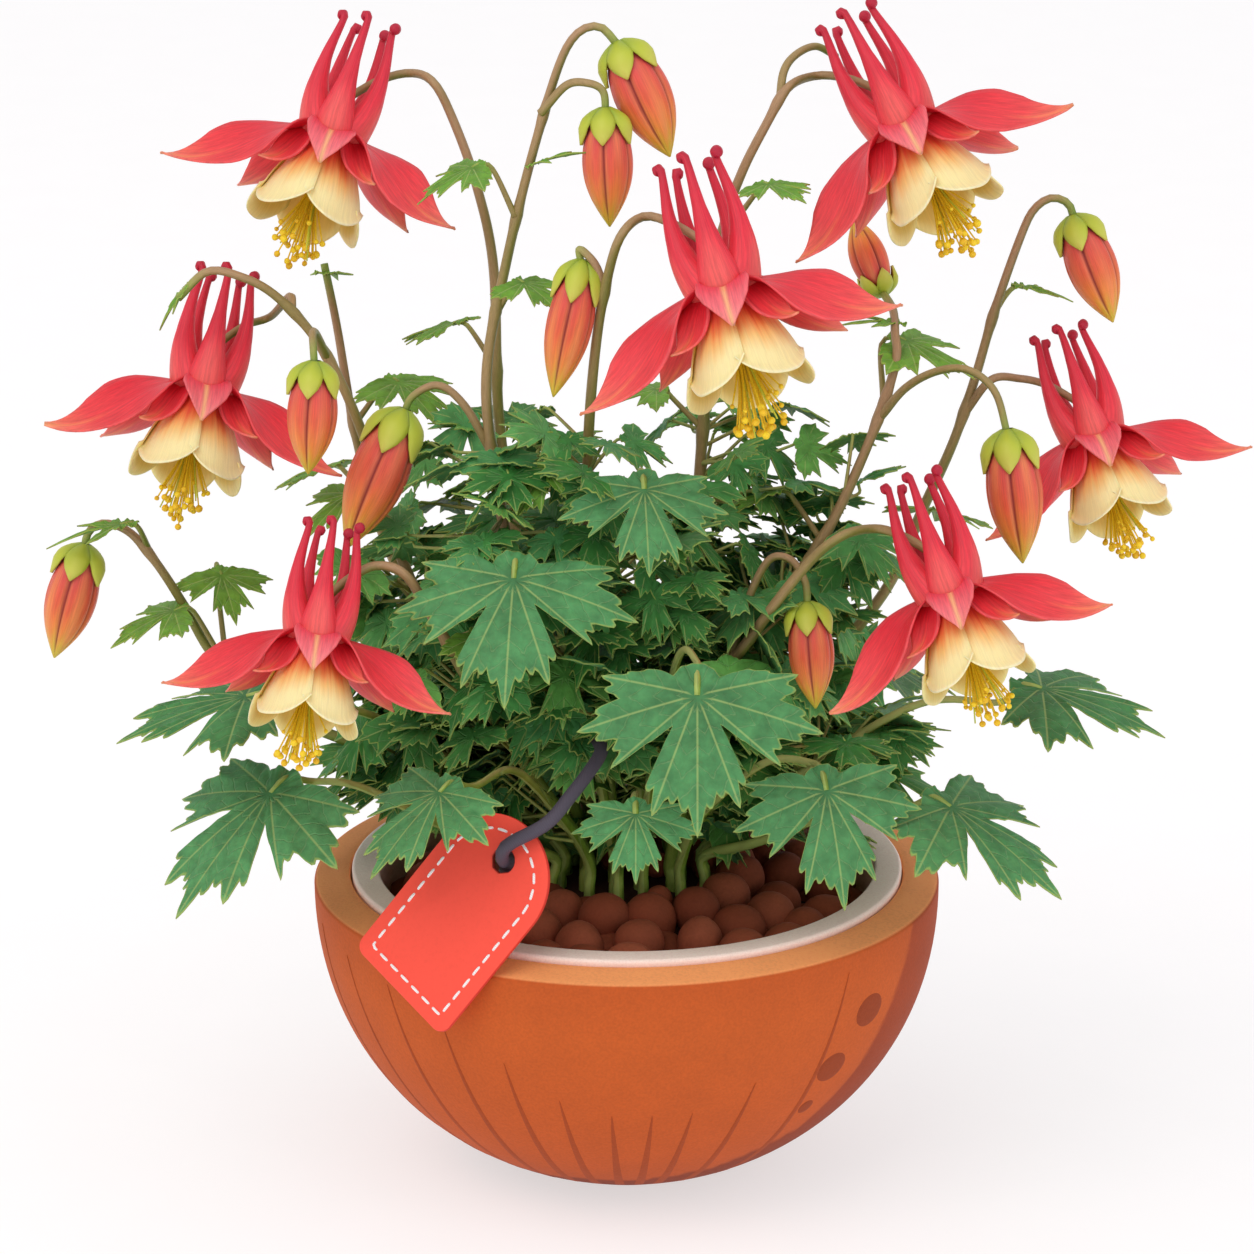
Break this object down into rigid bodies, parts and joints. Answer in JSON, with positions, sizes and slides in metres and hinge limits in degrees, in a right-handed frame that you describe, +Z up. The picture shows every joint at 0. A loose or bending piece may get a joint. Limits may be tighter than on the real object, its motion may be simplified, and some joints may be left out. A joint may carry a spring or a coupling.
{
  "type": "potted columbine plant",
  "caption": "Red and yellow columbine in bloom with nodding spurred flowers, buds and lobed leaves, in a round terracotta bowl filled with clay pebbles, with a blank hang tag.",
  "frame": {"origin": "centre of the bowl's flat foot, on the surface it stands on", "axes": "+Z up; -Y towards the front, where the hang tag and the lowest flowers are; +X to the right seen from the front"},
  "size_m": [0.2885, 0.1625, 0.2805],
  "materials": {
    "terracotta": "matt orange terracotta with a fine grain, paler on the rim",
    "cream_clay": "smooth pale cream clay, satin",
    "fired_clay": "matt brown fired clay, finely pitted",
    "red_card": "coated red card, satin, with a white stitched border",
    "grey_cord": "braided dark grey cord",
    "red_sepal": "satin petal skin, red with paler tips and fine veins",
    "cream_petal": "soft cream petal shaded red at its root",
    "yellow_stamen": "matt bright yellow pollen and threads",
    "bud_skin": "satin orange-red skin with dark grooves and a yellow tip",
    "green_stem": "smooth stalk, brown where old and olive green near the flowers",
    "green_leaf": "matt blue-green leaf with pale veins and edges"
  },
  "bodies": {
    "root": {"bowl": "terracotta", "liner": "cream_clay", "clay_pebbles": "fired_clay", "tag": "red_card", "cord": "grey_cord", "bloom_top_left": "red_sepal", "petals_top_left": "cream_petal", "stamens_top_left": "yellow_stamen", "bloom_top_right": "red_sepal", "petals_top_right": "cream_petal", "stamens_top_right": "yellow_stamen", "bloom_left": "red_sepal", "petals_left": "cream_petal", "stamens_left": "yellow_stamen", "bloom_centre": "red_sepal", "petals_centre": "cream_petal", "stamens_centre": "yellow_stamen", "bloom_right": "red_sepal", "petals_right": "cream_petal", "stamens_right": "yellow_stamen", "bloom_low_left": "red_sepal", "petals_low_left": "cream_petal", "stamens_low_left": "yellow_stamen", "bloom_low_right": "red_sepal", "petals_low_right": "cream_petal", "stamens_low_right": "yellow_stamen", "bud_top_left": "bud_skin", "bud_top_middle": "bud_skin", "bud_middle": "bud_skin", "bud_upper_left": "bud_skin", "bud_left": "bud_skin", "bud_far_left": "bud_skin", "bud_upper_right": "bud_skin", "bud_right": "bud_skin", "bud_low_right": "bud_skin", "bud_upright": "bud_skin", "stem_left": "green_stem", "stem_top_left": "green_stem", "stem_far_left": "green_stem", "stem_centre": "green_stem", "stem_top_right": "green_stem", "stem_right": "green_stem", "stem_far_right": "green_stem", "stem_low_right": "green_stem", "stem_low_left": "green_stem", "stem_side_left": "green_stem", "stem_tall_left": "green_stem", "leaf_front": "green_leaf", "leaf_front_left": "green_leaf", "leaf_front_right": "green_leaf", "leaf_middle_left": "green_leaf", "leaf_middle": "green_leaf", "leaf_small_front": "green_leaf", "leaf_left": "green_leaf", "leaf_low_left": "green_leaf", "leaf_right": "green_leaf", "leaf_low_right": "green_leaf", "leaf_back_left": "green_leaf", "leaf_back": "green_leaf", "leaf_back_right": "green_leaf"}
  },
  "joints": []
}
